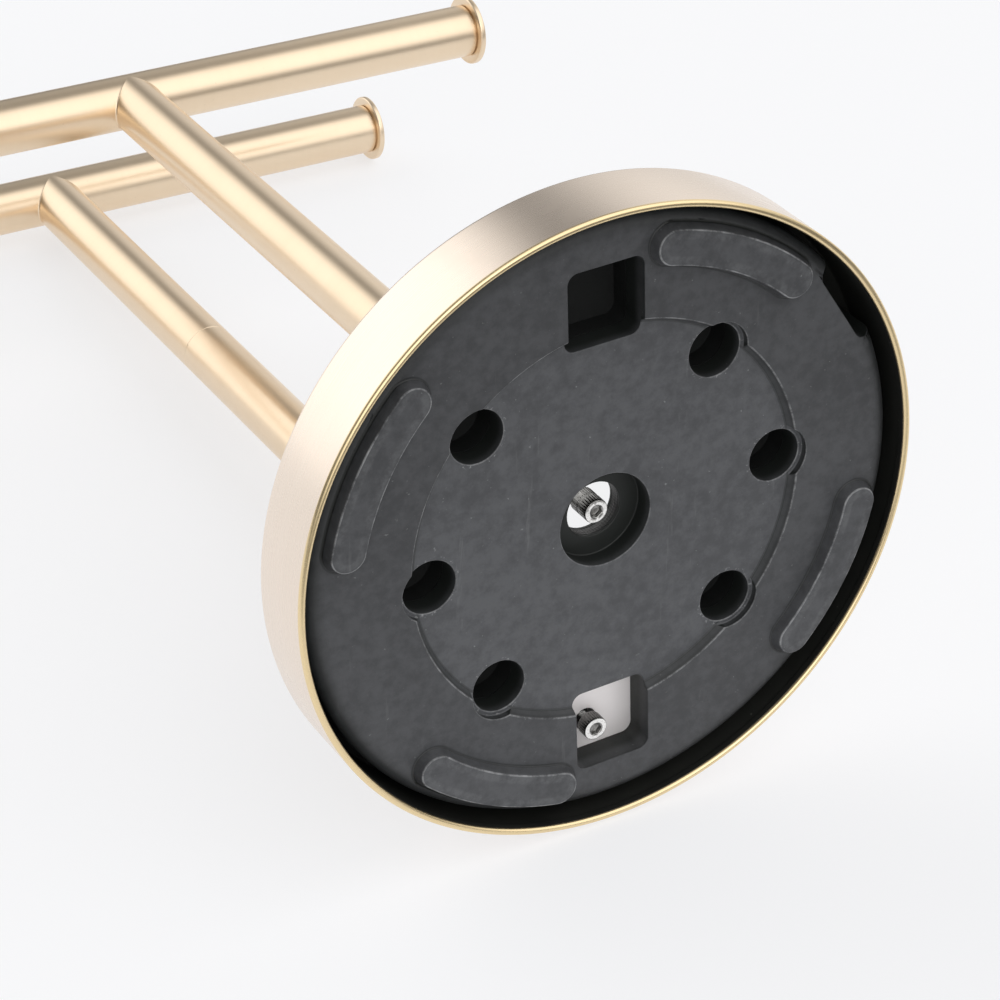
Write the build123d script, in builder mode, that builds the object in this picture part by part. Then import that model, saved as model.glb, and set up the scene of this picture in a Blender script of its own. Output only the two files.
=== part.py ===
"""Countertop towel stand: a weighted round base with two posts and two cross bars, all in millimetres.

The origin is the centre of the base's underside, +Z is up and the bars run along X. Post A stands in
the middle of the base and post B, the taller one, stands towards -Y.
"""
import os

from build123d import *

# Base shell: a drawn steel dish, open below, with a thick rolled lip.
base_radius = 92.0
base_height = 22.9
sheet = 1.2
lip_width = 2.0
lip_height = 3.0
top_round = 1.8
lip_outer_round = 0.8
lip_inner_round = 0.4

# Tubes.
tube_radius = 8.8
tube_wall = 1.2
bore_radius = tube_radius - tube_wall
post_inset = 25.0
post_spacing = base_radius - post_inset
bar_a_height = 307.0
bar_b_height = 382.0
seam_height = 252.0
saddle_flat = 0.3

# End caps.
bar_half = 125.5
cap_radius = 11.7
cap_thick = 2.0
cap_round = 0.6
neck_radius = 8.1
neck_length = 0.4
spigot_length = 9.0

# Weight: a moulded cover below a cast core, turned together about the base's axis.
turn = -5.4
cover_gap = 2.9
cover_radius = base_radius - sheet - cover_gap
cover_round = 4.2
ring_face = 4.4
disc_face = 6.6
step_inset = 31.1
step_radius = cover_radius - step_inset
step_run = 1.5
pad_face = 1.2
pad_count = 4
pad_inset = 9.05
pad_mid_radius = cover_radius - pad_inset
pad_width = 9.7
pad_angle = 31.5
pad_half_span = 15.3
pad_draft = 18.0
pad_root = 0.6
pad_edge_round = 0.3
hole_radius = 7.7
mouth_radius = 8.9
hole_inset = 4.5
hole_circle = step_radius - hole_inset
hole_spread = 47.8
hole_top = 19.7
pocket_radial = 23.3
pocket_across = 22.3
pocket_offset = 2.85
pocket_mid_radius = post_spacing - pocket_offset
pocket_angle = 92.7
pocket_round = 3.0
notch_angle = 152.0
notch_depth = 5.5
notch_floor = cover_radius - notch_depth
notch_width = 27.3
notch_reach = 9.0
notch_round = 3.0
access_radius = 13.6
ledge_radius = 8.0
ledge_thick = 1.2
wall_thick = 7.4
core_radius = cover_radius - wall_thick

# Mounting plate.
plate_under = 13.8
plate_thick = 4.0
plate_width = 40.0
plate_front = 18.0
plate_rear = 11.0
plate_back = post_spacing + plate_rear
plate_round = 6.0
spot_radius = 8.0
spot_depth = 1.4

# Fasteners.
screw_radius = 2.0
screw_length = 20.0
head_radius = 3.5
head_height = 4.0
head_round = 0.4
tip_chamfer = 0.5
hex_across = 3.0
hex_depth = 2.2
screw_hole_radius = 2.25
rear_hole_radius = 3.3
screw_b_proud = 1.8
plug_length = 14.0
stud_radius = 3.0
stud_length = 30.0
bush_length = 16.0

# Clearances.
thread_gap = 0.05
plate_gap = 0.2

roof = base_height - sheet
plate_top = plate_under + plate_thick
plate_length = plate_front + plate_back
plate_middle = (plate_front - plate_back) / 2
posts = [(0, 0), (0, -post_spacing)]
hole_angles = [side + spread + turn for side in (0, 180) for spread in (-hole_spread, 0, hole_spread)]


def along_x(y, z):
    """Return the plane across a bar's axis, where sketches extrude along X."""
    return Plane(origin=(0, y, z), x_dir=(0, 1, 0), z_dir=(1, 0, 0))


def disc(radius, bottom, top, mode=Mode.ADD):
    """Make an upright cylinder on the base's axis between two heights."""
    with BuildSketch(Plane.XY.offset(bottom)) as profile:
        Circle(radius)
    extrude(profile.sketch, amount=top - bottom, mode=mode)


def screw_holes(radius, bottom, top):
    """Cut the clearance holes for both post screws."""
    with BuildSketch(Plane.XY.offset(bottom)) as profile:
        with Locations(*posts):
            Circle(radius)
    extrude(profile.sketch, amount=top - bottom, mode=Mode.SUBTRACT)


# Base shell: the revolved section, its rounded edges and the two screw holes.
with BuildPart() as base_shell:
    with BuildSketch(Plane.XZ):
        with BuildLine():
            Polyline(
                (0, roof),
                (0, base_height),
                (base_radius, base_height),
                (base_radius, 0),
                (base_radius - lip_width, 0),
                (base_radius - lip_width, lip_height),
                (base_radius - sheet, lip_height),
                (base_radius - sheet, roof),
                close=True,
            )
        make_face()
    revolve(axis=Axis.Z)
    circles = base_shell.edges().filter_by(GeomType.CIRCLE)
    fillet(circles.group_by(Axis.Z)[-1], top_round)
    bottom_edges = base_shell.edges().filter_by(GeomType.CIRCLE).group_by(Axis.Z)[0].sort_by(SortBy.RADIUS)
    fillet(bottom_edges[-1], lip_outer_round)
    bottom_edges = base_shell.edges().filter_by(GeomType.CIRCLE).group_by(Axis.Z)[0].sort_by(SortBy.RADIUS)
    fillet(bottom_edges[0], lip_inner_round)
    screw_holes(screw_hole_radius, roof, base_height)

# Weight cover: the black underside with its pads, holes, pockets and edge notch.
with BuildPart() as weight_cover:
    disc(cover_radius, ring_face, roof)
    fillet(weight_cover.edges().group_by(Axis.Z)[0], cover_round)
    disc(core_radius, plate_under, roof, Mode.SUBTRACT)
    with Locations((0, 0, ring_face)):
        Cone(
            step_radius + step_run,
            step_radius,
            disc_face - ring_face,
            align=(Align.CENTER, Align.CENTER, Align.MIN),
            mode=Mode.SUBTRACT,
        )
    with BuildSketch(Plane.XY.offset(pad_face)):
        for number in range(pad_count):
            start = pad_angle + turn + 360 / pad_count * number - pad_half_span
            arc = Edge.make_circle(pad_mid_radius, start_angle=start, end_angle=start + 2 * pad_half_span)
            SlotArc(arc, pad_width)
    extrude(amount=ring_face + pad_root - pad_face, taper=-pad_draft)
    fillet(weight_cover.faces().group_by(Axis.Z)[0].edges(), pad_edge_round)
    with BuildSketch(Plane.XY.offset(pad_face)):
        with Locations(*[Vector(hole_circle, 0).rotate(Axis.Z, angle) for angle in hole_angles]):
            Circle(hole_radius)
        with PolarLocations(pocket_mid_radius, 2, start_angle=pocket_angle + turn):
            RectangleRounded(pocket_radial, pocket_across, pocket_round)
    extrude(amount=plate_under - pad_face, mode=Mode.SUBTRACT)
    with BuildSketch(Plane.XY.offset(ring_face)):
        with Locations(*[Vector(hole_circle, 0).rotate(Axis.Z, angle) for angle in hole_angles]):
            Circle(mouth_radius)
    extrude(amount=disc_face - ring_face, mode=Mode.SUBTRACT)
    with BuildSketch(Plane.XY.offset(ring_face)):
        with PolarLocations(notch_floor + notch_reach / 2, 1, start_angle=notch_angle + turn):
            RectangleRounded(notch_reach, notch_width, notch_round)
    extrude(amount=roof - ring_face, mode=Mode.SUBTRACT)
    disc(access_radius, disc_face, plate_under - ledge_thick, Mode.SUBTRACT)
    disc(ledge_radius, disc_face, plate_under, Mode.SUBTRACT)

# Weight core: cast iron, grooved for the plate, bored over the cover's holes and its upper pocket.
with BuildPart() as weight_core:
    disc(core_radius, plate_under, roof)
    with BuildSketch(Plane.XY.offset(plate_under)):
        with Locations((0, plate_middle)):
            RectangleRounded(plate_width + 2 * plate_gap, plate_length + 2 * plate_gap, plate_round + plate_gap)
    extrude(amount=plate_thick, mode=Mode.SUBTRACT)
    with BuildSketch(Plane.XY.offset(plate_under)):
        with Locations(*[Vector(hole_circle, 0).rotate(Axis.Z, angle) for angle in hole_angles]):
            Circle(hole_radius)
        with PolarLocations(pocket_mid_radius, 1, start_angle=pocket_angle + turn):
            RectangleRounded(pocket_radial, pocket_across, pocket_round)
    extrude(amount=hole_top - plate_under, mode=Mode.SUBTRACT)
    screw_holes(screw_hole_radius, plate_top, roof)

# Mounting plate: joins the two posts below the shell's top, with a bright spot face in the middle.
with BuildPart() as mounting_plate:
    with BuildSketch(Plane.XY.offset(plate_under)):
        with Locations((0, plate_middle)):
            RectangleRounded(plate_width, plate_length, plate_round)
    extrude(amount=plate_thick)
    disc(spot_radius, plate_under, plate_under + spot_depth, Mode.SUBTRACT)
    screw_holes(screw_hole_radius, plate_under, plate_top)
    with Locations((0, -post_spacing, plate_under)):
        Cylinder(
            rear_hole_radius,
            plate_thick,
            align=(Align.CENTER, Align.CENTER, Align.MIN),
            mode=Mode.SUBTRACT,
        )


def socket_screw(x, y, seat):
    """Make a socket head screw whose head hangs below the seat height."""
    with BuildPart() as screw:
        with Locations((x, y, seat)):
            Cylinder(screw_radius, screw_length, align=(Align.CENTER, Align.CENTER, Align.MIN))
            Cylinder(head_radius, head_height, align=(Align.CENTER, Align.CENTER, Align.MAX))
        rims = screw.faces().sort_by(Axis.Z)[0].edges()
        fillet(rims, head_round)
        with BuildSketch(Plane.XY.offset(seat - head_height)):
            with Locations((x, y)):
                RegularPolygon(hex_across / 2, 6, major_radius=False)
        extrude(amount=hex_depth, mode=Mode.SUBTRACT)
        chamfer(screw.faces().sort_by(Axis.Z)[-1].edges(), tip_chamfer)
    return screw


post_screw_a = socket_screw(0, 0, plate_under + spot_depth)
post_screw_b = socket_screw(0, -post_spacing, plate_under - screw_b_proud)


def tube(y, bottom, top, bar_height=None):
    """Make an upright tube, coped round the bar that it carries when a bar height is given."""
    with BuildPart() as post:
        with BuildSketch(Plane.XY.offset(bottom)):
            with Locations((0, y)):
                Circle(tube_radius)
                Circle(bore_radius, mode=Mode.SUBTRACT)
        extrude(amount=top - bottom)
        if bar_height:
            with BuildSketch(along_x(y, bar_height)):
                Circle(tube_radius)
            extrude(amount=2 * tube_radius, both=True, mode=Mode.SUBTRACT)
    return post


post_a = tube(0, base_height, bar_a_height - saddle_flat, bar_a_height)
post_b_lower = tube(-post_spacing, base_height, seam_height)
post_b_upper = tube(-post_spacing, seam_height, bar_b_height - saddle_flat, bar_b_height)


def plug(y, bottom, length, thread_radius):
    """Make a threaded plug that fills a post's bore over a given length."""
    with BuildPart() as piece:
        with BuildSketch(Plane.XY.offset(bottom)):
            with Locations((0, y)):
                Circle(bore_radius)
                Circle(thread_radius + thread_gap, mode=Mode.SUBTRACT)
        extrude(amount=length)
    return piece


foot_plug_a = plug(0, base_height, plug_length, screw_radius)
foot_plug_b = plug(-post_spacing, base_height, plug_length, screw_radius)
joiner_bush_lower = plug(-post_spacing, seam_height - bush_length, bush_length, stud_radius)
joiner_bush_upper = plug(-post_spacing, seam_height, bush_length, stud_radius)

# Joiner stud: holds the two halves of post B together across the seam.
with BuildPart() as joiner_stud:
    with Locations((0, -post_spacing, seam_height)):
        Cylinder(stud_radius, stud_length)
    chamfer(joiner_stud.edges(), tip_chamfer)


def bar(y, z):
    """Make a cross bar, a plain tube that stops short of the caps by their necks."""
    with BuildPart() as piece:
        with BuildSketch(along_x(y, z)):
            Circle(tube_radius)
            Circle(bore_radius, mode=Mode.SUBTRACT)
        extrude(amount=bar_half - neck_length, both=True)
    return piece


bar_a = bar(0, bar_a_height)
bar_b = bar(-post_spacing, bar_b_height)


def end_cap(side, y, z):
    """Make a flanged cap with a neck and a spigot, on the +X side for 1 and the -X side for -1."""
    face = Plane(origin=(side * bar_half, y, z), x_dir=(0, 1, 0), z_dir=(side, 0, 0))
    with BuildPart() as cap:
        with BuildSketch(face):
            Circle(cap_radius)
        extrude(amount=cap_thick)
        fillet(cap.edges(), cap_round)
        with BuildSketch(face):
            Circle(neck_radius)
        extrude(amount=-neck_length)
        with BuildSketch(face.offset(-neck_length)):
            Circle(bore_radius)
        extrude(amount=-spigot_length)
    return cap


end_cap_a_left = end_cap(-1, 0, bar_a_height)
end_cap_a_right = end_cap(1, 0, bar_a_height)
end_cap_b_left = end_cap(-1, -post_spacing, bar_b_height)
end_cap_b_right = end_cap(1, -post_spacing, bar_b_height)

pieces = {
    "base_shell": base_shell,
    "weight_cover": weight_cover,
    "weight_core": weight_core,
    "mounting_plate": mounting_plate,
    "post_screw_a": post_screw_a,
    "post_screw_b": post_screw_b,
    "foot_plug_a": foot_plug_a,
    "foot_plug_b": foot_plug_b,
    "post_a": post_a,
    "post_b_lower": post_b_lower,
    "post_b_upper": post_b_upper,
    "joiner_stud": joiner_stud,
    "joiner_bush_lower": joiner_bush_lower,
    "joiner_bush_upper": joiner_bush_upper,
    "bar_a": bar_a,
    "bar_b": bar_b,
    "end_cap_a_left": end_cap_a_left,
    "end_cap_a_right": end_cap_a_right,
    "end_cap_b_left": end_cap_b_left,
    "end_cap_b_right": end_cap_b_right,
}

os.makedirs("parts", exist_ok=True)
for name, piece in pieces.items():
    piece.part.label = name
    export_step(piece.part, f"parts/{name}.step")
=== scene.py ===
# Countertop towel stand: finishes, fine shapes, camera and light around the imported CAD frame.
# Everything is in metres in the CAD frame. The stand lies on its side for the main picture: it leans on a
# pale table that runs up along its posts, on the -Y side, and the camera looks at the base from below.
import math

import bmesh
import bpy
from mathutils import Matrix, Vector


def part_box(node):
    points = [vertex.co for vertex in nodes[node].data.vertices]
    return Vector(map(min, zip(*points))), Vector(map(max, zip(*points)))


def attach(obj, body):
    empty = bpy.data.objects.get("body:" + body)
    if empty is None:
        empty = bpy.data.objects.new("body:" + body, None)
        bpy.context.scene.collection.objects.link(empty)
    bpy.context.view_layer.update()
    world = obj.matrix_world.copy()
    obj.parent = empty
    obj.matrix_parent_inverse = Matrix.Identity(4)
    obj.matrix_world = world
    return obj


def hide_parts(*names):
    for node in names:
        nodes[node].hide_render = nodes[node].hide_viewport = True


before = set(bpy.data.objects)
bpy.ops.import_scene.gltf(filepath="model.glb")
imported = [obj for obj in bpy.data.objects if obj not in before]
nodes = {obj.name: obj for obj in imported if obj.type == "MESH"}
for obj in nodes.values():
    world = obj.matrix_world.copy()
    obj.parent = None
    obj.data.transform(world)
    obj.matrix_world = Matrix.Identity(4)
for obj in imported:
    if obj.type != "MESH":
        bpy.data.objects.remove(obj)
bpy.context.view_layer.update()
mm = 0.001
print("frame loaded,", len(nodes), "nodes")


# Sizes read from the frame

def middle(name):
    low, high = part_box(name)
    return (low + high) / 2


baseLow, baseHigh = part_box("base_shell")
baseRadius = baseHigh.x
baseHeight = baseHigh.z
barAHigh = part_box("bar_a")[1]
tubeRadius = barAHigh.y
barAPlace = middle("bar_a")
barBPlace = middle("bar_b")
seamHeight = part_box("post_b_upper")[0].z
barHalf = barAHigh.x


# Sockets as values in sums, and trees of nodes

class Wire:
    def __init__(self, tree, socket):
        self.tree = tree
        self.socket = socket

    def math(self, operation, *others):
        return self.tree.node("ShaderNodeMath", {"operation": operation}, dict(enumerate((self,) + others)))

    def __add__(self, other):
        return self.math("ADD", other)

    def __radd__(self, other):
        return self.math("ADD", other)

    def __sub__(self, other):
        return self.math("SUBTRACT", other)

    def __rsub__(self, other):
        return self.tree.wire(other).math("SUBTRACT", self)

    def __mul__(self, other):
        return self.math("MULTIPLY", other)

    def __rmul__(self, other):
        return self.math("MULTIPLY", other)


class Tree:
    def __init__(self, owner):
        owner.use_nodes = True
        self.made = owner.node_tree
        self.made.nodes.clear()

    def feed(self, socket, value):
        if isinstance(value, Wire):
            self.made.links.new(value.socket, socket)
        elif isinstance(value, tuple) and len(value) == 3 and len(socket.default_value) == 4:
            socket.default_value = (*value, 1)
        else:
            socket.default_value = value

    def wire(self, number):
        return self.node("ShaderNodeMath", {"operation": "ADD"}, {0: number, 1: 0})

    def node(self, kind, settings=None, values=None, out=0):
        made = self.made.nodes.new(kind)
        for key, value in (settings or {}).items():
            setattr(made, key, value)
        for key, value in (values or {}).items():
            self.feed(made.inputs[key], value)
        return Wire(self, made.outputs[out]) if made.outputs else made

    def place(self, scale=(1, 1, 1), turn=(0, 0, 0)):
        spot = self.node("ShaderNodeTexCoord", out="Object")
        return self.node("ShaderNodeMapping", None, {"Vector": spot, "Scale": scale, "Rotation": turn})

    def split(self, vector):
        parts = self.node("ShaderNodeSeparateXYZ", None, {"Vector": vector}).socket.node.outputs
        return [Wire(self, part) for part in parts]

    def axes(self):
        return self.split(self.node("ShaderNodeTexCoord", out="Object"))

    def fromAxis(self):
        # distance from the upright axis through the middle of the base
        x, y = self.axes()[:2]
        return (x * x + y * y).math("SQRT")

    def noise(self, scale, detail=3, rough=0.5, stretch=(1, 1, 1), turn=(0, 0, 0)):
        values = {"Vector": self.place(stretch, turn), "Scale": scale, "Detail": detail, "Roughness": rough}
        return self.node("ShaderNodeTexNoise", None, values)

    def step(self, value, low, high):
        settings = {"interpolation_type": "SMOOTHSTEP"}
        return self.node("ShaderNodeMapRange", settings, {"Value": value, "From Min": low, "From Max": high})

    def patches(self, scale, detail, rough, low, high, *lay):
        # noise cut to spots: none of it below low, all of it above high
        return self.step(self.noise(scale, detail, rough, *lay), low, high)

    def mix(self, factor, first, second):
        return self.node("ShaderNodeMix", {"data_type": "RGBA"}, {0: factor, 6: first, 7: second}, out=2)

    def bump(self, height, depth, before=None):
        values = {"Height": height, "Distance": depth, "Strength": 1.0}
        if before:
            values["Normal"] = before
        return self.node("ShaderNodeBump", None, values)


def finish(name, constants, build):
    material = bpy.data.materials.new(name)
    tree = Tree(material)
    links = build(tree)
    shader = tree.node("ShaderNodeBsdfPrincipled", None, {**constants, **links})
    tree.node("ShaderNodeOutputMaterial", None, {"Surface": shader})
    return material


# Finishes

goldLook = {
    "tubeWarm": (0.80, 0.635, 0.45), "tubePale": (0.86, 0.715, 0.54), "tubeRoughness": 0.31,
    "baseWarm": (0.82, 0.705, 0.595), "basePale": (0.89, 0.785, 0.69), "baseRoughness": 0.27,
    "lipWarm": (0.84, 0.67, 0.40), "lipTop": 1.2 * mm, "lipFull": 0.6,
    "tubeGrain": 0.003 * mm, "baseGrain": 0.0014 * mm,
    "postLay": (0.05, 0.05, 1.0), "barLay": (1.0, 0.05, 0.05),
    "brushing": (2600, 2, 0.6), "band": (500, 2, 0.5), "cloud": (22, 3), "cloudShare": 0.7, "roundTheAxis": 0.04,
    "smudges": (60, 4, 0.6, 0.5, 0.75), "specks": (900, 1, 0.5, 0.76, 0.82),
    "speck": (0.45, 0.35, 0.24), "speckShare": 0.2, "brushedRoughness": 0.05, "smudgedRoughness": 0.03,
}


def satinGold(name, part, grain=None, lipTop=None):
    # grain: how fast the brushing varies along each axis, high across the lines, and without it the lines run
    # round the base's axis; lipTop: the lip is yellower below it
    look = goldLook

    def lines(tree, scale, detail, rough):
        if grain:
            return tree.noise(scale, detail, rough, grain)
        x, _, z = tree.axes()
        spot = tree.node("ShaderNodeCombineXYZ", None, {0: tree.fromAxis(), 1: x * look["roundTheAxis"], 2: z})
        values = {"Vector": spot, "Scale": scale, "Detail": detail, "Roughness": rough}
        return tree.node("ShaderNodeTexNoise", None, values)

    def build(tree):
        brushing = lines(tree, *look["brushing"])
        band = lines(tree, *look["band"])
        cloud = tree.noise(*look["cloud"])
        smudge = tree.patches(*look["smudges"])
        speck = tree.patches(*look["specks"])
        blend = cloud * look["cloudShare"] + band * (1 - look["cloudShare"])
        tone = tree.mix(blend, look[part + "Warm"], look[part + "Pale"])
        if lipTop:
            lip = tree.step(tree.axes()[2], lipTop, lipTop * look["lipFull"])
            tone = tree.mix(lip, tone, look["lipWarm"])
        brushed = (brushing - 0.5) * look["brushedRoughness"]
        return {
            "Base Color": tree.mix(speck * look["speckShare"], tone, look["speck"]),
            "Roughness": look[part + "Roughness"] + brushed + smudge * look["smudgedRoughness"],
            "Normal": tree.bump(brushing, look[part + "Grain"]),
        }
    return finish(name, {"Metallic": 1.0}, build)


mouldingLook = {
    # the pale edge colour is wear and painted highlight together
    "dark": (0.054, 0.056, 0.061), "mid": (0.084, 0.087, 0.094), "wornAndGlint": (0.50, 0.51, 0.52),
    # black is painted shade; ringShade, padShade and deepFrom to deepTo set where painted shade darkens the cover
    "dust": (0.24, 0.245, 0.25), "black": (0.009, 0.011, 0.010), "none": (0.0, 0.0, 0.0),
    "ringLevel": 5.0 * mm, "padLevel": 1.8 * mm, "levelBlend": 0.6 * mm, "ringShade": 0.72, "padShade": 0.80,
    "deepFrom": 6.9 * mm, "deepTo": 10.0 * mm,
    "mottle": (260, 5, 0.7), "cloud": (38, 3, 0.5), "fine": (1900, 2),
    "mottleShare": 0.7, "blotchFrom": 0.36, "blotchTo": 0.64,
    "scratches": (240, 4, 0.7, 0.64, 0.74, (1, 0.10, 1), (0, 0, 0.7)), "scratchShare": 0.16,
    "specks": (800, 2, 0.5, 0.72, 0.79), "speckShare": 0.6, "wornAndGlintShare": 0.55,
    "roughness": 0.50, "mottleRoughness": 0.14, "fineRoughness": 0.12,
    "fineDepth": 0.010 * mm, "cloudDepth": 0.15 * mm,
}


# where the cover's faces and edges lie, with the pads and pits as angles about the axis in degrees
wearGlintAndShadeLook = {
    "line": 0.30 * mm, "lineCore": 0.4, "levelFrom": 0.25 * mm, "levelTo": 0.40 * mm,
    "ringFace": 4.4 * mm, "discFace": 6.6 * mm, "padFace": 1.2 * mm,
    "stepOuter": 58.3 * mm, "stepInner": 56.8 * mm, "stepBlend": 0.4 * mm, "access": 13.6 * mm,
    "padCircle": 78.85 * mm, "padHalfWidth": 4.85 * mm, "padHalfSpan": 15.3, "padTurn": 26.1,
    "padFoot": 1.1 * mm, "padTopIn": 1.5 * mm,
    "pitCircle": 52.3 * mm, "pitRadius": 7.7 * mm, "pitMouth": 1.2 * mm, "pitSpread": 47.8, "pitTurn": -5.4,
    "roundedFrom": 82.0 * mm, "roundedTo": 87.5 * mm,
    # ragged and chipped patches break up the pale edge lines, which are wear and painted highlight
    "ragged": (130, 6, 0.8, 0.36, 0.66), "chipsAndGlints": (1100, 3, 0.7, 0.58, 0.68),
    # painted shade on upright walls, on the step's slope and on the rounded rim by the lip
    "wallFrom": 0.10, "wallTo": 0.28, "slopePaintedShade": 0.45, "wallPaintedShade": 0.55, "roundedPaintedShade": 0.75,
}


def wornGlintAndShadePlaces(tree):
    # where the moulding wears to a pale line that is also painted highlight on its edges, and where painted shade
    # lies: both follow the cover's shape
    look = wearGlintAndShadeLook
    x, y, z = tree.axes()
    away = tree.fromAxis()
    angle = y.math("ARCTAN2", x)

    def near(distance, width):
        line = look["line"] * width
        return 1 - tree.step(distance.math("ABSOLUTE"), line * look["lineCore"], line)

    def level(height):
        return 1 - tree.step((z - height).math("ABSOLUTE"), look["levelFrom"], look["levelTo"])

    def turnedBack(turn, half):
        return (angle - math.radians(turn)).math("WRAP", half, -half).math("ABSOLUTE")

    def slotEdge():
        past = (turnedBack(look["padTurn"], math.pi / 4) - math.radians(look["padHalfSpan"])).math("MAXIMUM", 0.0)
        past = past * look["padCircle"]
        across = away - look["padCircle"]
        return (across * across + past * past).math("SQRT") - look["padHalfWidth"]

    def pitEdge():
        off = turnedBack(look["pitTurn"], math.pi / 2)
        forward, sideways = away * off.math("COSINE"), away * off.math("SINE")
        edges = []
        for spread in (0.0, math.radians(look["pitSpread"])):
            ahead = forward - look["pitCircle"] * math.cos(spread)
            aside = sideways - look["pitCircle"] * math.sin(spread)
            edges.append((ahead * ahead + aside * aside).math("SQRT"))
        return edges[0].math("MINIMUM", edges[1]) - look["pitRadius"]

    def total(places):
        # places: distance from an edge, width of the line, which face it lies on, how strong it is
        return sum(near(distance, width) * face * share for distance, width, face, share in places)

    slot, pit = slotEdge(), pitEdge()
    ring, sunk, top = level(look["ringFace"]), level(look["discFace"]), level(look["padFace"])
    ragged, chipsAndGlints = tree.patches(*look["ragged"]), tree.patches(*look["chipsAndGlints"])
    wornAndGlint = total((
        (slot, 1.4, top, 0.8),
        (away - look["stepOuter"], 1.0, ring, 0.7),
        (pit, 1.0, sunk, 0.5),
        (pit - look["pitMouth"], 1.0, ring, 0.5),
        (away - look["access"], 1.0, sunk, 0.4),
    ))
    # chipped pit mouths, pale as wear and painted highlight
    wornAndGlint = wornAndGlint * ragged + near(pit - look["pitMouth"] / 2, 2.5) * sunk * chipsAndGlints * 0.7
    wornAndGlint = wornAndGlint + near(slot + look["padTopIn"], 5.0) * top * ragged * 0.10
    # painted shade at the feet of the pads and inside the step
    paintedShade = total((
        (slot - look["padFoot"], 2.4, ring, 0.6),
        (away - look["stepInner"], 1.6, sunk, 0.5),
    ))
    # more painted shade: the step's slope, upright walls and the rounded rim near the lip
    slope = tree.step(z, look["ringFace"], look["ringFace"] + look["stepBlend"])
    slope = slope - tree.step(z, look["discFace"] - look["stepBlend"], look["discFace"])
    slope = slope * near(away - (look["stepOuter"] + look["stepInner"]) / 2, 4.0)
    upright = tree.split(tree.node("ShaderNodeNewGeometry", out="Normal"))[2]
    wall = 1 - tree.step(upright.math("ABSOLUTE"), look["wallFrom"], look["wallTo"])
    rounded = tree.step(away, look["roundedFrom"], look["roundedTo"])
    paintedShade = paintedShade + slope * look["slopePaintedShade"] + wall * look["wallPaintedShade"] + rounded * look["roundedPaintedShade"]
    return wornAndGlint.math("MINIMUM", 1.0), paintedShade.math("MINIMUM", 1.0)


def blackMoulding():
    look = mouldingLook

    def build(tree):
        z = tree.axes()[2]
        mottle = tree.noise(*look["mottle"])
        cloud = tree.noise(*look["cloud"])
        scratch = tree.patches(*look["scratches"])
        speck = tree.patches(*look["specks"])
        fine = tree.noise(*look["fine"])
        blotch = mottle * look["mottleShare"] + cloud * (1 - look["mottleShare"])
        tone = tree.mix(tree.step(blotch, look["blotchFrom"], look["blotchTo"]), look["dark"], look["mid"])
        tone = tree.mix(scratch * look["scratchShare"], tone, look["dust"])
        tone = tree.mix(speck * look["speckShare"], tone, look["dust"])
        wornAndGlint, paintedShade = wornGlintAndShadePlaces(tree)
        # painted shade from the cover's shape turns these places black
        tone = tree.mix(paintedShade, tone, look["black"])
        # painted shade: the outer ring is darker than the sunk disc, the pads' tops are between, and what lies
        # deeper is painted black as shade
        ring = tree.step(z, look["ringLevel"] + look["levelBlend"], look["ringLevel"])
        pad = tree.step(z, look["padLevel"] + look["levelBlend"], look["padLevel"])
        shade = 1 - ring * (1 - look["ringShade"]) + pad * (look["padShade"] - look["ringShade"])
        tone = tree.mix(1 - shade, tone, look["none"])
        deep = tree.step(z, look["deepFrom"], look["deepTo"])
        tone = tree.mix(deep, tone, look["black"])
        # pale edge lines: wear and painted highlight
        tone = tree.mix(wornAndGlint * look["wornAndGlintShare"], tone, look["wornAndGlint"])
        uneven = mottle * look["mottleRoughness"] + (fine - 0.5) * look["fineRoughness"]
        return {
            "Base Color": tone,
            "Roughness": look["roughness"] + uneven,
            "Normal": tree.bump(fine, look["fineDepth"], tree.bump(cloud, look["cloudDepth"])),
        }
    return finish("blackMoulding", {"Specular IOR Level": 0.45}, build)


plateLook = {
    "bright": (0.96, 0.925, 0.925), "dull": (0.90, 0.865, 0.865), "roughness": 0.47, "cloudRoughness": 0.06,
    "metal": 0.4, "polished": (0.97, 0.97, 0.965), "polishedRoughness": 0.035,
    "polishedRadius": 7.9 * mm, "polishedBlend": 0.1 * mm,
    "blackRing": (0.012, 0.012, 0.012), "blackRingRadius": 17.0 * mm, "blackRingBlend": 0.5 * mm,
    "cloud": (90, 4, 0.6), "drawn": (900, 2, 0.5, (1, 0.06, 1)), "drawnDepth": 0.001 * mm,
}


def zincPlate():
    # satin all over, but polished in the spot face round the middle, with a black ring round that
    look = plateLook

    def build(tree):
        cloud = tree.noise(*look["cloud"])
        drawn = tree.noise(*look["drawn"])
        away = tree.fromAxis()
        satin = tree.step(away, look["polishedRadius"], look["polishedRadius"] + look["polishedBlend"])
        blackRing = satin - tree.step(away, look["blackRingRadius"], look["blackRingRadius"] + look["blackRingBlend"])
        tone = tree.mix(cloud, look["dull"], look["bright"])
        tone = tree.mix(satin, look["polished"], tone)
        return {
            "Base Color": tree.mix(blackRing, tone, look["blackRing"]),
            "Metallic": look["metal"] + (1 - satin) * (1 - look["metal"]) - blackRing * look["metal"],
            "Roughness": look["polishedRoughness"] + satin * (look["roughness"] + cloud * look["cloudRoughness"]),
            "Normal": tree.bump(drawn * satin, look["drawnDepth"]),
        }
    return finish("zincPlate", {}, build)


nickelLook = {
    "bright": (0.93, 0.92, 0.90), "dull": (0.55, 0.53, 0.50), "roughness": 0.20,
    "grime": (1500, 3, 0.6, 0.45, 0.75), "grimeShare": 0.6, "grimeRoughness": 0.2,
    # socketShade and sideShade make darker copies of the nickel, painted shade for the socket and for the head's
    # side
    "grain": (3000, 2), "grainDepth": 0.003 * mm, "socketShade": 0.36, "sideShade": 0.20,
}


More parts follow.
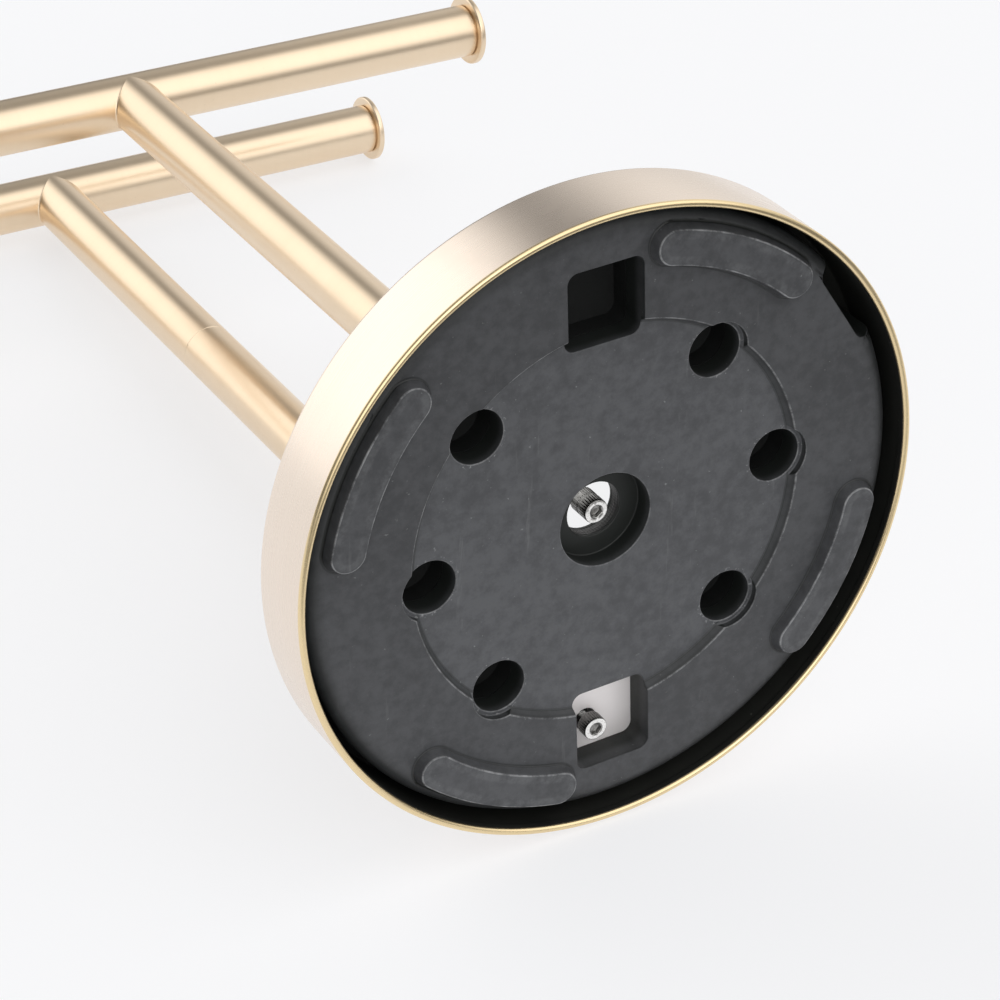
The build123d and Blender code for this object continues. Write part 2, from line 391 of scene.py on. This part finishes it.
def nickelScrew(name, shade=1.0):
    look = nickelLook

    def build(tree):
        grime = tree.patches(*look["grime"])
        bright, dull = (tuple(shade * part for part in look[tone]) for tone in ("bright", "dull"))
        return {
            "Base Color": tree.mix(grime * look["grimeShare"], bright, dull),
            "Roughness": look["roughness"] + grime * look["grimeRoughness"],
            "Normal": tree.bump(tree.noise(*look["grain"]), look["grainDepth"]),
        }
    return finish(name, {"Metallic": 1.0}, build)


darkInsideLook = {
    "dark": (0.004, 0.004, 0.004), "dusty": (0.016, 0.017, 0.014), "speck": (0.10, 0.10, 0.09),
    "cloud": (70, 4, 0.6), "specks": (700, 2, 0.5, 0.72, 0.80), "speckShare": 0.5,
    "roughness": 0.6, "cloudRoughness": 0.2,
}


def darkInside():
    look = darkInsideLook

    def build(tree):
        cloud = tree.noise(*look["cloud"])
        speck = tree.patches(*look["specks"])
        tone = tree.mix(cloud, look["dark"], look["dusty"])
        return {
            "Base Color": tree.mix(speck * look["speckShare"], tone, look["speck"]),
            "Roughness": look["roughness"] + cloud * look["cloudRoughness"],
        }
    return finish("darkInside", {"Specular IOR Level": 0.25}, build)


ironLook = {
    "dark": (0.004, 0.005, 0.005), "mid": (0.015, 0.016, 0.016), "roughness": 0.7,
    "grit": (500, 5, 0.7), "gritRoughness": 0.3, "gritDepth": 0.15 * mm,
}


def castIron():
    look = ironLook

    def build(tree):
        grit = tree.noise(*look["grit"])
        return {
            "Base Color": tree.mix(grit, look["dark"], look["mid"]),
            "Roughness": look["roughness"] + (grit - 0.5) * look["gritRoughness"],
            "Normal": tree.bump(grit, look["gritDepth"]),
        }
    return finish("castIron", {"Metallic": 0.35}, build)


postGold = satinGold("satinGoldPost", "tube", goldLook["postLay"])
barGold = satinGold("satinGoldBar", "tube", goldLook["barLay"])
baseGold = satinGold("satinGoldBase", "base", lipTop=goldLook["lipTop"])
moulding = blackMoulding()
zinc = zincPlate()
nickel = nickelScrew("nickelScrew")
# darker copies of the nickel: painted shade in the socket and on the head's side, shank and knurl
nickelPaintedShadeSocket = nickelScrew("nickelScrewSocketPaintedShade", nickelLook["socketShade"])
nickelPaintedShadeSide = nickelScrew("nickelScrewSidePaintedShade", nickelLook["sideShade"])
darkInsideFinish = darkInside()
iron = castIron()
print("finishes made")


# Mesh helpers

def arc(centre, radius, start, end, steps=8):
    # points from one angle to another, in degrees, as (radius, height) pairs
    points = []
    for index in range(steps + 1):
        angle = math.radians(start + (end - start) * index / steps)
        points.append((centre[0] + radius * math.cos(angle), centre[1] + radius * math.sin(angle)))
    return points


def around(segments):
    return [2 * math.pi * index / segments for index in range(segments)]


def joinRows(mesh, first, second):
    count = len(first)
    for index in range(count):
        after = (index + 1) % count
        mesh.faces.new((first[index], first[after], second[after], second[index]))


def turned(rings, segments, place):
    # rings: functions of an angle that give (radius, height); place: maps (angle, radius, height) to a point
    mesh = bmesh.new()
    grid = [[mesh.verts.new(place(angle, *ring(angle))) for angle in around(segments)] for ring in rings]
    for upper, lower in zip(grid, grid[1:]):
        joinRows(mesh, upper, lower)
    return mesh, grid


def aboutZ(x=0.0, y=0.0):
    return lambda angle, radius, height: (x + radius * math.cos(angle), y + radius * math.sin(angle), height)


def aboutX(y, z):
    return lambda angle, radius, along: (along, y + radius * math.cos(angle), z + radius * math.sin(angle))


def fixed(profile):
    return [lambda angle, point=point: point for point in profile]


def shown(name, data):
    made = bpy.data.objects.new(name, data)
    bpy.context.scene.collection.objects.link(made)
    return made


meshLook = {"merge": 0.0005 * mm, "leastArea": 1e-13, "sharp": math.radians(35)}


def piece(name, mesh, materials, stands):
    bmesh.ops.remove_doubles(mesh, verts=mesh.verts, dist=meshLook["merge"])
    empty = [face for face in mesh.faces if face.calc_area() < meshLook["leastArea"]]
    bmesh.ops.delete(mesh, geom=empty, context="FACES")
    bmesh.ops.recalc_face_normals(mesh, faces=mesh.faces)
    for face in mesh.faces:
        face.smooth = True
    for edge in mesh.edges:
        edge.smooth = len(edge.link_faces) == 2 and edge.calc_face_angle(0) < meshLook["sharp"]
    data = bpy.data.meshes.new(name)
    mesh.to_mesh(data)
    mesh.free()
    for material in materials:
        data.materials.append(material)
    made = shown(name, data)
    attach(made, "root")
    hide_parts(*stands)
    return made


# Base shell: a drawn dish with a rolled lip, gold outside and dark inside

shellLook = {
    "sheet": 1.2 * mm, "topRound": 1.8 * mm, "lipWidth": 2.0 * mm, "lipHeight": 3.0 * mm, "lipRound": 0.4 * mm,
    "insideRound": 0.6 * mm, "innerRing": 0.5, "segments": 256,
}


def makeBaseShell():
    look = shellLook
    sheet, top, inside = look["sheet"], look["topRound"], look["insideRound"]
    lip, lipIn = look["lipWidth"], look["lipRound"]
    roof = baseHeight - sheet
    innerRing = baseRadius * look["innerRing"]
    outer = [(0.0, baseHeight), (innerRing, baseHeight)]
    outer += arc((baseRadius - top, baseHeight - top), top, 90, 0)
    outer += arc((baseRadius - lip / 2, lip / 2), lip / 2, 0, -180, 16)
    inner = arc((baseRadius - lip + lipIn, look["lipHeight"] - lipIn), lipIn, 180, 90, 4)
    inner += arc((baseRadius - sheet - inside, roof - inside), inside, 0, 90, 4)
    inner += [(innerRing, roof), (0.0, roof)]
    mesh, grid = turned(fixed(outer + inner), look["segments"], aboutZ())
    dark = {vert for row in grid[len(outer) - 1:] for vert in row}
    for face in mesh.faces:
        face.material_index = 1 if all(vert in dark for vert in face.verts) else 0
    return piece("baseShell", mesh, [baseGold, darkInsideFinish], ["base_shell"])


makeBaseShell()
print("base shell made")


# Weight cover: the CAD shape with its rims eased

coverLook = {"rim": 0.25 * mm, "rimSteps": 2, "rimAngle": 38, "merge": 0.002 * mm, "flat": 0.6}


def makeWeightCover():
    look = coverLook
    mesh = bmesh.new()
    mesh.from_mesh(nodes["weight_cover"].data)
    bmesh.ops.remove_doubles(mesh, verts=mesh.verts, dist=look["merge"])
    bmesh.ops.dissolve_limit(mesh, angle_limit=math.radians(look["flat"]), verts=mesh.verts, edges=mesh.edges)
    made = piece("weightCover", mesh, [moulding], ["weight_cover"])
    bevel = made.modifiers.new("rims", "BEVEL")
    bevel.width = look["rim"]
    bevel.segments = look["rimSteps"]
    bevel.limit_method = "ANGLE"
    bevel.angle_limit = math.radians(look["rimAngle"])
    bevel.use_clamp_overlap = False
    return made


makeWeightCover()
print("weight cover made")


# Posts: tubes whose tops meet the bars in a small weld fillet

postLook = {"segments": 96, "wall": 1.2 * mm, "edge": 0.15 * mm, "weld": 0.5 * mm, "weldSteps": 6}


def saddle(barHeight, radius, angle):
    # height of a bar's underside over a point on the post
    return barHeight - math.sqrt(max(0.0, tubeRadius ** 2 - (radius * math.sin(angle)) ** 2))


def makePost(name, stands, x, y, low, high=None, barHeight=None):
    # a post ends level at high, or in the underside of a bar at barHeight
    outer, inner, edge = tubeRadius, tubeRadius - postLook["wall"], postLook["edge"]
    angles = around(postLook["segments"])

    def weldSize(angle):
        return postLook["weld"] * abs(math.cos(angle))

    def rowOf(mesh, radius, spread, height):
        # a row of points round the post: spread moves each one along x, height gives its level
        row = []
        for angle in angles:
            spot = (x + radius * math.cos(angle) + spread(angle), y + radius * math.sin(angle), height(angle))
            row.append(mesh.verts.new(spot))
        return row

    rings = [lambda angle: (inner, low), lambda angle: (outer - edge, low), lambda angle: (outer, low + edge)]
    if barHeight:
        rings.append(lambda angle: (outer, saddle(barHeight, outer, angle) - weldSize(angle)))
    else:
        rings += [lambda angle: (outer, high - edge), lambda angle: (outer - edge, high)]
    mesh, grid = turned(rings, postLook["segments"], aboutZ(x, y))
    last = grid[-1]
    if barHeight:
        for step in range(1, postLook["weldSteps"] + 1):
            turn = math.pi / 2 * step / postLook["weldSteps"]
            row = rowOf(
                mesh, outer,
                lambda angle: (1 if math.cos(angle) > 0 else -1) * weldSize(angle) * (1 - math.cos(turn)),
                lambda angle: saddle(barHeight, outer, angle) - weldSize(angle) * (1 - math.sin(turn)))
            joinRows(mesh, last, row)
            last = row
    top = rowOf(
        mesh, inner, lambda angle: 0.0,
        lambda angle: saddle(barHeight, inner, angle) if barHeight else high)
    joinRows(mesh, last, top)
    joinRows(mesh, top, grid[0])
    return piece(name, mesh, [postGold], stands)


makePost("postA", ["post_a"], 0.0, 0.0, baseHeight, barHeight=barAPlace.z)
makePost("postBLower", ["post_b_lower"], 0.0, barBPlace.y, baseHeight, seamHeight)
makePost("postBUpper", ["post_b_upper"], 0.0, barBPlace.y, seamHeight, barHeight=barBPlace.z)
print("posts made")


# Cross bars and their end caps

barLook = {"segments": 96, "wall": 1.2 * mm, "edge": 0.15 * mm, "lengths": 6}
capLook = {"round": 0.55 * mm, "flange": 2.0 * mm, "neck": 8.1 * mm, "spigot": 7.6 * mm, "segments": 96}


def makeBar(name, stands, spot):
    outer, inner, edge, half = tubeRadius, tubeRadius - barLook["wall"], barLook["edge"], barHalf
    lengths = barLook["lengths"]
    profile = [(inner, -half), (outer - edge, -half), (outer, -half + edge)]
    profile += [(outer, half * share / lengths) for share in range(1 - lengths, lengths)]
    profile += [(outer, half - edge), (outer - edge, half), (inner, half), (inner, -half)]
    mesh, _ = turned(fixed(profile), barLook["segments"], aboutX(spot.y, spot.z))
    return piece(name, mesh, [barGold], [stands])


def makeCap(name, stands, spot):
    low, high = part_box(stands)
    side = 1 if low.x > 0 else -1
    outerFace, innerEnd = (high.x, low.x) if side > 0 else (low.x, high.x)
    radius = (high.z - low.z) / 2
    flange = outerFace - side * capLook["flange"]
    bend, neck, spigot = capLook["round"], capLook["neck"], capLook["spigot"]
    rim = arc((radius - bend, 0.0), bend, 90, 0, 5)
    profile = [(0.0, outerFace)]
    profile += [(r, outerFace - side * (bend - h)) for r, h in rim]
    profile += [(r, flange + side * (bend - h)) for r, h in reversed(rim)]
    profile += [(neck, flange), (neck, side * barHalf), (spigot, side * barHalf)]
    profile += [(spigot, innerEnd), (0.0, innerEnd)]
    mesh, _ = turned(fixed(profile), capLook["segments"], aboutX(spot.y, spot.z))
    return piece(name, mesh, [barGold], [stands])


for letter, spot in (("a", barAPlace), ("b", barBPlace)):
    makeBar("bar" + letter.upper(), "bar_" + letter, spot)
    for hand in ("left", "right"):
        makeCap("endCap" + letter.upper() + hand.title(), f"end_cap_{letter}_{hand}", spot)
print("bars and caps made")


# Post screws: socket heads with a knurled side and threaded shanks

screwLook = {
    "head": 3.5 * mm, "headHeight": 4.0 * mm, "shank": 2.0 * mm, "plain": 1.0 * mm, "tipChamfer": 0.5 * mm,
    "pitch": 0.7 * mm, "threadDepth": 0.38 * mm, "threadSteps": 6, "segments": 48,
    "hexAcross": 3.3 * mm, "hexDepth": 1.5 * mm, "hexChamfer": 0.22 * mm, "hexTaper": 0.98, "hexCone": 0.5 * mm,
    "hexRim": 0.15 * mm, "edgeIn": 0.3 * mm, "edgeRound": 0.1 * mm, "edgeRise": 0.08 * mm,
    "hexTurnA": 0.2, "hexTurnB": 0.45,
    "ridges": 30, "ridgeDepth": 0.10 * mm, "ridgeFill": 0.55, "ridgeEnds": 0.9 * mm,
}


def hexRadius(angle):
    part = (angle + math.pi / 6) % (math.pi / 3) - math.pi / 6
    return screwLook["hexAcross"] / 2 / math.cos(part)


def makeScrew(name, stands, turnBy):
    look = screwLook
    low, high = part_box(stands)
    spot = (low + high) / 2
    face, tip, seat = low.z, high.z, low.z + look["headHeight"]
    side, shank, bend = look["head"] - look["ridgeDepth"], look["shank"], look["edgeRound"]
    threadFrom = seat + look["plain"]
    threadLength = tip - seat - look["plain"]
    rings = [lambda angle: (0.0, face + look["hexDepth"] + look["hexCone"])]
    rings += [lambda angle: (hexRadius(angle + turnBy) * look["hexTaper"], face + look["hexDepth"])]
    rings += [lambda angle: (hexRadius(angle + turnBy), face + look["hexChamfer"])]
    rings += fixed([
        (look["hexAcross"] / math.sqrt(3) + look["hexRim"], face),
        (side - look["edgeIn"], face), (side - bend, face + look["edgeRise"]), (side, face + look["edgeIn"]),
        (side, seat - bend), (side - bend, seat), (shank, seat), (shank, threadFrom)])
    steps = int(threadLength / look["pitch"] * look["threadSteps"])
    for step in range(1, steps):
        height = threadFrom + threadLength * step / steps

        def thread(angle, height=height):
            wave = (height / look["pitch"] - angle / (2 * math.pi)) % 1
            return shank - look["threadDepth"] * abs(2 * wave - 1), height
        rings.append(thread)
    rings += fixed([(shank - look["tipChamfer"], tip), (0.0, tip)])
    mesh, grid = turned(rings, look["segments"], aboutZ(spot.x, spot.y))
    # the socket darkened as painted shade, the bright front of the head, and the side and shank darkened as
    # painted shade
    socket, front = ({vert for row in rows for vert in row} for rows in (grid[:4], grid[3:6]))
    for faceMade in mesh.faces:
        inSocket, inFront = (all(vert in group for vert in faceMade.verts) for group in (socket, front))
        faceMade.material_index = 1 if inSocket else 0 if inFront else 2
    made = piece(name, mesh, [nickel, nickelPaintedShadeSocket, nickelPaintedShadeSide], [stands])
    makeKnurl(name + "Knurl", Vector((spot.x, spot.y, (face + seat) / 2)))
    return made


def knurlTree():
    tree = bpy.data.node_groups.new("knurlRing", "GeometryNodeTree")
    face = tree.interface
    face.new_socket("Ridges", in_out="INPUT", socket_type="NodeSocketInt")
    face.new_socket("Radius", in_out="INPUT", socket_type="NodeSocketFloat")
    face.new_socket("Ridge", in_out="INPUT", socket_type="NodeSocketVector")
    face.new_socket("Place", in_out="INPUT", socket_type="NodeSocketVector")
    face.new_socket("Finish", in_out="INPUT", socket_type="NodeSocketMaterial")
    face.new_socket("Geometry", in_out="OUTPUT", socket_type="NodeSocketGeometry")
    new, link = tree.nodes.new, tree.links.new
    given, result = new("NodeGroupInput"), new("NodeGroupOutput")
    circle, cube = new("GeometryNodeMeshCircle"), new("GeometryNodeMeshCube")
    spread, real = new("GeometryNodeInstanceOnPoints"), new("GeometryNodeRealizeInstances")
    position, turn = new("GeometryNodeInputPosition"), new("FunctionNodeAlignRotationToVector")
    move, paint = new("GeometryNodeTransform"), new("GeometryNodeSetMaterial")
    turn.axis = "X"
    link(given.outputs["Ridges"], circle.inputs["Vertices"])
    link(given.outputs["Radius"], circle.inputs["Radius"])
    link(given.outputs["Ridge"], cube.inputs["Size"])
    link(position.outputs[0], turn.inputs["Vector"])
    link(circle.outputs[0], spread.inputs["Points"])
    link(cube.outputs[0], spread.inputs["Instance"])
    link(turn.outputs[0], spread.inputs["Rotation"])
    link(spread.outputs[0], real.inputs[0])
    link(real.outputs[0], move.inputs["Geometry"])
    link(given.outputs["Place"], move.inputs["Translation"])
    link(move.outputs[0], paint.inputs["Geometry"])
    link(given.outputs["Finish"], paint.inputs["Material"])
    link(paint.outputs[0], result.inputs[0])
    return tree


knurlRing = knurlTree()


def makeKnurl(name, place):
    look = screwLook
    width = 2 * math.pi * look["head"] / look["ridges"] * look["ridgeFill"]
    wanted = {
        "Ridges": look["ridges"],
        "Radius": look["head"] - look["ridgeDepth"],
        "Ridge": (2 * look["ridgeDepth"], width, look["headHeight"] - look["ridgeEnds"]),
        "Place": place,
        # the knurl takes the side's darker copy, painted shade
        "Finish": nickelPaintedShadeSide,
    }
    holder = shown(name, bpy.data.meshes.new(name))
    modifier = holder.modifiers.new("knurl", "NODES")
    modifier.node_group = knurlRing
    for item in knurlRing.interface.items_tree:
        if item.in_out == "INPUT":
            modifier[item.identifier] = wanted[item.name]
    bpy.context.view_layer.update()
    graph = bpy.context.evaluated_depsgraph_get()
    data = bpy.data.meshes.new_from_object(holder.evaluated_get(graph))
    bpy.data.objects.remove(holder)
    made = shown(name, data)
    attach(made, "root")
    return made


makeScrew("postScrewA", "post_screw_a", screwLook["hexTurnA"])
makeScrew("postScrewB", "post_screw_b", screwLook["hexTurnB"])
print("screws made")


# Pieces that keep their CAD shape and take a finish

def dress(name, material):
    kept = nodes[name]
    kept.data.materials.clear()
    kept.data.materials.append(material)


for name in ("mounting_plate", "foot_plug_a", "foot_plug_b", "joiner_bush_lower", "joiner_bush_upper"):
    dress(name, zinc)
dress("joiner_stud", nickel)
dress("weight_core", iron)
print("inner pieces dressed")


# Table, floor, light and camera

stageLook = {
    "table": (0.92, 0.925, 0.942), "size": 2.4, "gap": 0.15 * mm, "frontEdge": -0.19,
    "lit": 0.40, "glow": 0.65, "restsBelowTop": 1.8 * mm, "floorDrop": 0.05 * mm,
}
skyLook = {
    "dark": 0.27, "lamps": (1.0, 0.995, 0.985), "shown": (0.93, 0.935, 0.95),
    "horizon": 0.12, "horizonFrom": 0.05, "horizonTo": 0.3,
    "rightLamp": {"towards": (0.47, 0.41, 0.78), "edge": 0.74, "full": 0.93, "strength": 1.2},
    "overLamp": {"towards": (-0.38, 0.73, -0.56), "edge": 0.62, "full": 0.93, "strength": 1.2},
    "lowLamp": {"towards": (0.35, 0.30, -0.89), "edge": 0.82, "full": 0.95, "strength": 1.5},
    "leftWall": {"towards": (-0.85, 0.25, 0.45), "edge": 0.70, "full": 0.95, "strength": 0.72},
}


def stagePlane(name, centre, normal, cameraOnly, front=None):
    mesh = bmesh.new()
    along = Vector((1, 0, 0)).cross(normal).normalized()
    half = stageLook["size"] / 2
    near, far = along * (-half if front is None else front), along * half
    across = Vector((1, 0, 0)) * half
    corners = [centre + across + near, centre - across + near, centre - across + far, centre + across + far]
    face = mesh.faces.new([mesh.verts.new(corner) for corner in corners])
    face.normal_update()
    if face.normal.dot(normal) < 0:
        face.normal_flip()
    data = bpy.data.meshes.new(name)
    mesh.to_mesh(data)
    mesh.free()
    made = shown(name, data)
    data.materials.append(stageMaterial)
    if cameraOnly:
        made.visible_diffuse = made.visible_glossy = made.visible_shadow = made.visible_transmission = False
    return made


def paleStage():
    material = bpy.data.materials.new("paleStage")
    tree = Tree(material)
    behind = tree.node("ShaderNodeNewGeometry", out="Backfacing")
    lit = tuple(stageLook["lit"] * part for part in stageLook["table"])
    diffuse = tree.node("ShaderNodeBsdfDiffuse", None, {"Color": lit})
    glow = tree.node("ShaderNodeEmission", None, {"Color": stageLook["table"], "Strength": stageLook["glow"]})
    matt = tree.node("ShaderNodeAddShader", None, {0: diffuse, 1: glow})
    clear = tree.node("ShaderNodeBsdfTransparent")
    mixed = tree.node("ShaderNodeMixShader", None, {0: behind, 1: matt, 2: clear})
    tree.node("ShaderNodeOutputMaterial", None, {"Surface": mixed})
    return material


stageMaterial = paleStage()
capLow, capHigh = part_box("end_cap_b_left")
footing = Vector((0, baseLow.y, baseHeight - stageLook["restsBelowTop"]))
leaning = Vector((0, capLow.y, (capLow.z + capHigh.z) / 2))
run = (leaning - footing).normalized()
tableNormal = Vector((0, run.z, -run.y))
stagePlane("table", footing - tableNormal * stageLook["gap"], tableNormal, False, stageLook["frontEdge"])
stagePlane("floor", Vector((0, 0, -stageLook["floorDrop"])), Vector((0, 0, 1)), True)


def makeSky():
    # three soft lamps and a paler wall with dark between, darker at the table's level, and a plain pale field
    # for the camera
    world = bpy.data.worlds.new("softStudio")
    bpy.context.scene.world = world
    tree = Tree(world)
    direction = tree.node("ShaderNodeTexCoord", out="Generated")

    def facing(towards):
        axis = tuple(Vector(towards).normalized())
        values = {0: direction, 1: axis}
        return tree.node("ShaderNodeVectorMath", {"operation": "DOT_PRODUCT"}, values, out="Value")

    away = facing(tableNormal).math("ABSOLUTE")
    level = 1 - tree.step(away, skyLook["horizonFrom"], skyLook["horizonTo"])
    light = skyLook["dark"] - level * skyLook["horizon"]
    for lampName in ("rightLamp", "overLamp", "lowLamp", "leftWall"):
        lamp = skyLook[lampName]
        light = light + tree.step(facing(lamp["towards"]), lamp["edge"], lamp["full"]) * lamp["strength"]
    lit = tree.node("ShaderNodeBackground", None, {"Color": skyLook["lamps"], "Strength": light})
    field = tree.node("ShaderNodeBackground", None, {"Color": skyLook["shown"], "Strength": 1.0})
    looked = tree.node("ShaderNodeLightPath", out="Is Camera Ray")
    mixed = tree.node("ShaderNodeMixShader", None, {0: looked, 1: lit, 2: field})
    tree.node("ShaderNodeOutputWorld", None, {"Surface": mixed})


makeSky()

cameraLook = {
    "spot": (0.38566, 0.44004, -0.60563), "towards": (0.0244, 0.0063, 0.0193), "roll": -2.01,
    "lens": 117.45, "sensor": 36, "from": 0.01, "to": 50,
}


def makeCamera():
    data = bpy.data.cameras.new("photoCamera")
    data.lens = cameraLook["lens"]
    data.sensor_width = cameraLook["sensor"]
    data.clip_start, data.clip_end = cameraLook["from"], cameraLook["to"]
    made = shown("photoCamera", data)
    spot = Vector(cameraLook["spot"])
    forward = (Vector(cameraLook["towards"]) - spot).normalized()
    level = (tableNormal - forward * forward.dot(tableNormal)).normalized()
    up = Matrix.Rotation(math.radians(cameraLook["roll"]), 3, forward) @ level
    right = forward.cross(up)
    basis = Matrix((right, up, -forward)).transposed().to_4x4()
    made.matrix_world = Matrix.Translation(spot) @ basis
    bpy.context.scene.camera = made


makeCamera()
bpy.context.scene.view_settings.view_transform = "Standard"
print("stage, light and camera set")
